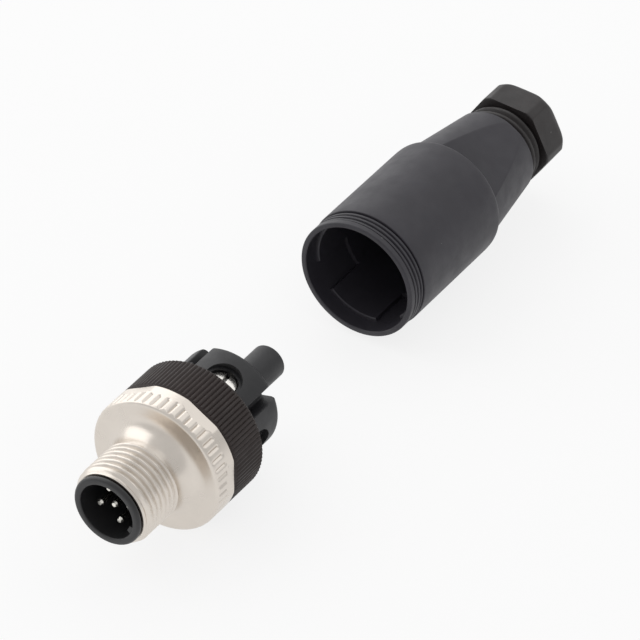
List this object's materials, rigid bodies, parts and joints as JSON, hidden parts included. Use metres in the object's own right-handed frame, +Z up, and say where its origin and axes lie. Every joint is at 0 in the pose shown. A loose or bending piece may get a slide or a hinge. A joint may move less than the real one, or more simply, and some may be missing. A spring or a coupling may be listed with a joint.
{
  "type": "m12 connector",
  "caption": "Field-wired M12 cable connector: pin carrier with screw terminals, union ring and a tapered housing with cable gland.",
  "frame": {"origin": "on the floor, under the middle of the drawn-apart connector", "axes": "+X along the connector's axis from the pins to the pressing screw, +Z up from the floor"},
  "size_m": [0.1048, 0.0204, 0.0205],
  "materials": {
    "plated_metal": "nickel-plated, satin bright",
    "contact_metal": "plated, bright",
    "screw_steel": "plated, bright",
    "insert_plastic": "semi-matt",
    "block_plastic": "semi-matt",
    "ring_plastic": "semi-matt, ribbed",
    "housing_plastic": "semi-matt, finely grained",
    "nut_plastic": "semi-matt",
    "seal_rubber": "matt"
  },
  "bodies": {
    "carrier": {"pin_insert": "insert_plastic", "contact_1": "contact_metal", "contact_2": "contact_metal", "contact_3": "contact_metal", "contact_4": "contact_metal", "contact_5": "contact_metal", "terminal_block": "block_plastic", "body_seal": "seal_rubber"},
    "coupling_screw": {"coupling_screw": "plated_metal"},
    "union_ring": {"union_ring": "ring_plastic"},
    "housing": {"housing": "housing_plastic", "cable_seal": "seal_rubber"},
    "thrust_ring": {"thrust_ring": "block_plastic"},
    "gland_nut": {"gland_nut": "nut_plastic"},
    "terminal_screw_1": {"terminal_screw_1": "screw_steel"},
    "terminal_screw_2": {"terminal_screw_2": "screw_steel"},
    "terminal_screw_3": {"terminal_screw_3": "screw_steel"},
    "terminal_screw_4": {"terminal_screw_4": "screw_steel"},
    "terminal_screw_5": {"terminal_screw_5": "screw_steel"}
  },
  "joints": [
    {"name": "coupling_screw_turn", "type": "hinge", "parent": "carrier", "child": "coupling_screw", "pos_m": [-0.04118, 0, 0.01025], "axis": [1, 0, 0], "continuous": true},
    {"name": "union_ring_turn", "type": "hinge", "parent": "carrier", "child": "union_ring", "pos_m": [-0.03687, 0, 0.01025], "axis": [1, 0, 0], "continuous": true},
    {"name": "housing_slide", "type": "slide", "parent": "carrier", "child": "housing", "axis": [1, 0, 0], "range_m": [-0.0411, 0]},
    {"name": "thrust_ring_advance", "type": "slide", "parent": "housing", "child": "thrust_ring", "axis": [-1, 0, 0], "range_m": [0, 0.0033]},
    {"name": "gland_nut_turn", "type": "hinge", "parent": "thrust_ring", "child": "gland_nut", "pos_m": [0.04723, 0, 0.01025], "axis": [-1, 0, 0], "range_deg": [0, 935.5]},
    {"name": "terminal_screw_1_turn", "type": "hinge", "parent": "carrier", "child": "terminal_screw_1", "pos_m": [-0.02795, 0, 0.01025], "axis": [0, 0.9588, 0.284], "range_deg": [0, 540]},
    {"name": "terminal_screw_2_turn", "type": "hinge", "parent": "carrier", "child": "terminal_screw_2", "pos_m": [-0.02795, 0, 0.01025], "axis": [0, -0.284, 0.9588], "range_deg": [0, 540]},
    {"name": "terminal_screw_3_turn", "type": "hinge", "parent": "carrier", "child": "terminal_screw_3", "pos_m": [-0.02795, 0, 0.01025], "axis": [0, -0.9588, -0.284], "range_deg": [0, 540]},
    {"name": "terminal_screw_4_turn", "type": "hinge", "parent": "carrier", "child": "terminal_screw_4", "pos_m": [-0.02795, 0, 0.01025], "axis": [0, 0.284, -0.9588], "range_deg": [0, 540]},
    {"name": "terminal_screw_5_turn", "type": "hinge", "parent": "carrier", "child": "terminal_screw_5", "pos_m": [-0.01748, 0, 0.01025], "axis": [0, -0.5225, 0.8526], "range_deg": [0, 540]}
  ],
  "couplings": [
    {"joint": "gland_nut_turn", "follows": "thrust_ring_advance", "rad_per_m": 4947.4}
  ]
}
